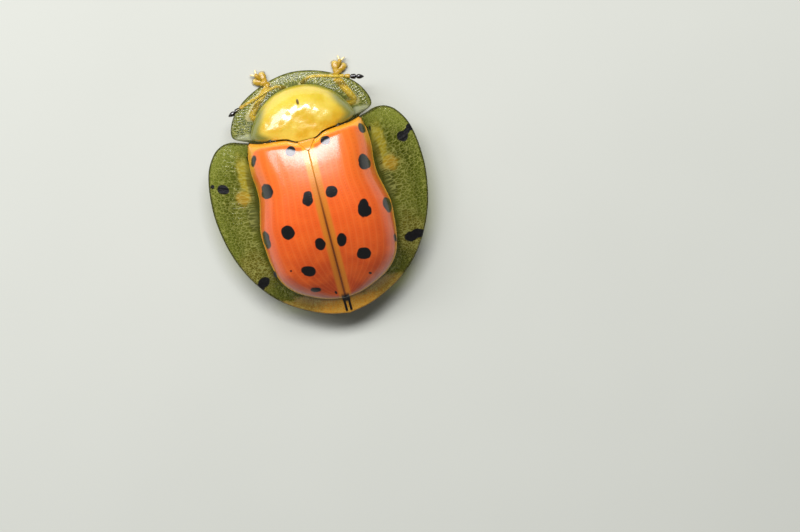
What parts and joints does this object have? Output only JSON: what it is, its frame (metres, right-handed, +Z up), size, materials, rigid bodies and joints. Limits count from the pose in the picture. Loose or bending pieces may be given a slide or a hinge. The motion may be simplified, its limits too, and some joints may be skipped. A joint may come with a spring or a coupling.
{
  "type": "tortoise beetle",
  "caption": "Life-size tortoise beetle standing on its feet: domed spotted wing covers and a domed neck shield, both ringed by a wide clear margin, over a tucked-in head.",
  "frame": {"origin": "on the floor under the middle of the beetle's bounding box", "axes": "+Z up, head towards -Y, the beetle's left side towards +X"},
  "size_m": [0.0124, 0.0148, 0.0052],
  "materials": {
    "wing_cover": "glossy orange cuticle with black spots",
    "clear_margin": "clear olive-yellow cuticle with a net of pale veins",
    "neck_shield": "glossy golden yellow cuticle",
    "limb": "satin pale amber cuticle",
    "underside": "satin brownish yellow cuticle",
    "dark_horn": "shiny black cuticle",
    "mouth": "satin brown cuticle"
  },
  "bodies": {
    "root": {"elytron_left": "wing_cover", "elytral_margin_left": "clear_margin", "eye_left": "dark_horn", "antenna_left": "limb", "antenna_club_left": "dark_horn", "leg_front_left_femur": "limb", "leg_front_left_tibia": "limb", "leg_front_left_tarsus": "limb", "leg_middle_left_femur": "limb", "leg_middle_left_tibia": "limb", "leg_middle_left_tarsus": "limb", "leg_hind_left_femur": "limb", "leg_hind_left_tibia": "limb", "leg_hind_left_tarsus": "limb", "elytron_right": "wing_cover", "elytral_margin_right": "clear_margin", "eye_right": "dark_horn", "antenna_right": "limb", "antenna_club_right": "dark_horn", "leg_front_right_femur": "limb", "leg_front_right_tibia": "limb", "leg_front_right_tarsus": "limb", "leg_middle_right_femur": "limb", "leg_middle_right_tibia": "limb", "leg_middle_right_tarsus": "limb", "leg_hind_right_femur": "limb", "leg_hind_right_tibia": "limb", "leg_hind_right_tarsus": "limb", "pronotum_disc": "neck_shield", "pronotum_margin": "clear_margin", "scutellum": "neck_shield", "thorax": "underside", "abdomen": "underside", "prothorax": "underside", "head": "limb", "mouthparts": "mouth"}
  },
  "joints": []
}
